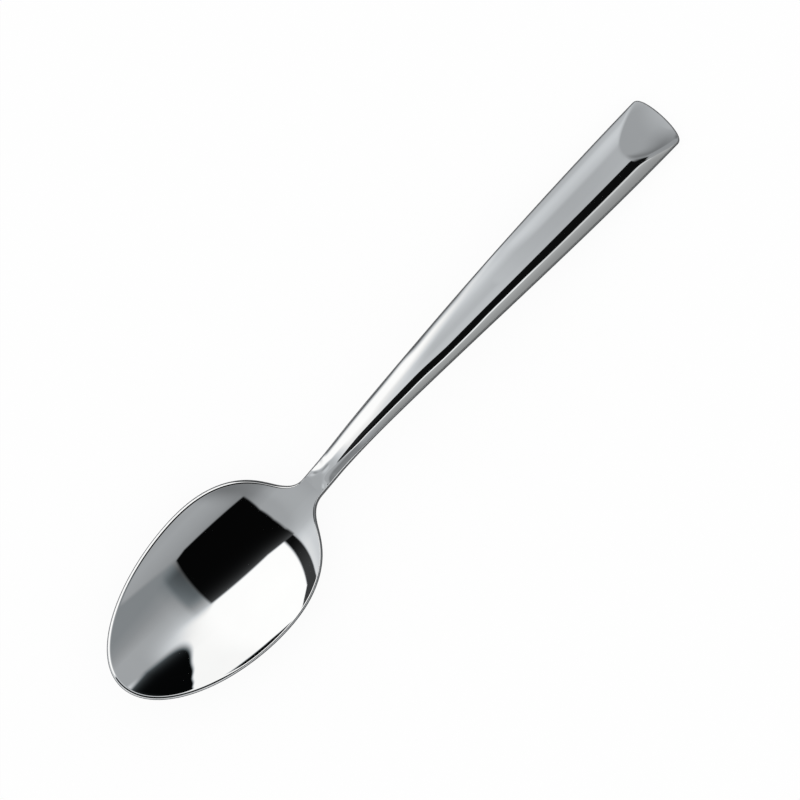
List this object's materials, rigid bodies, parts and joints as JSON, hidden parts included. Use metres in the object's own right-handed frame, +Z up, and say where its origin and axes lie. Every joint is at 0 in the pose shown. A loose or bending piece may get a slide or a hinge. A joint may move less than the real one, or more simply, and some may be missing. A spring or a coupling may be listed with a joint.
{
  "type": "dessert spoon",
  "caption": "Polished stainless steel dessert spoon with an oval hollow bowl, slim rising neck and arched handle that widens to a flat fan at its end.",
  "frame": {"origin": "on the table under the middle of the spoon's length", "axes": "+X along the spoon from the bowl to the end of the handle, +Z up out of the hollow"},
  "size_m": [0.18, 0.0372, 0.0148],
  "materials": {
    "bowl_steel": "mirror polished",
    "neck_steel": "mirror polished",
    "handle_steel": "mirror polished"
  },
  "bodies": {
    "root": {"bowl": "bowl_steel", "neck": "neck_steel", "handle": "handle_steel"}
  },
  "joints": []
}
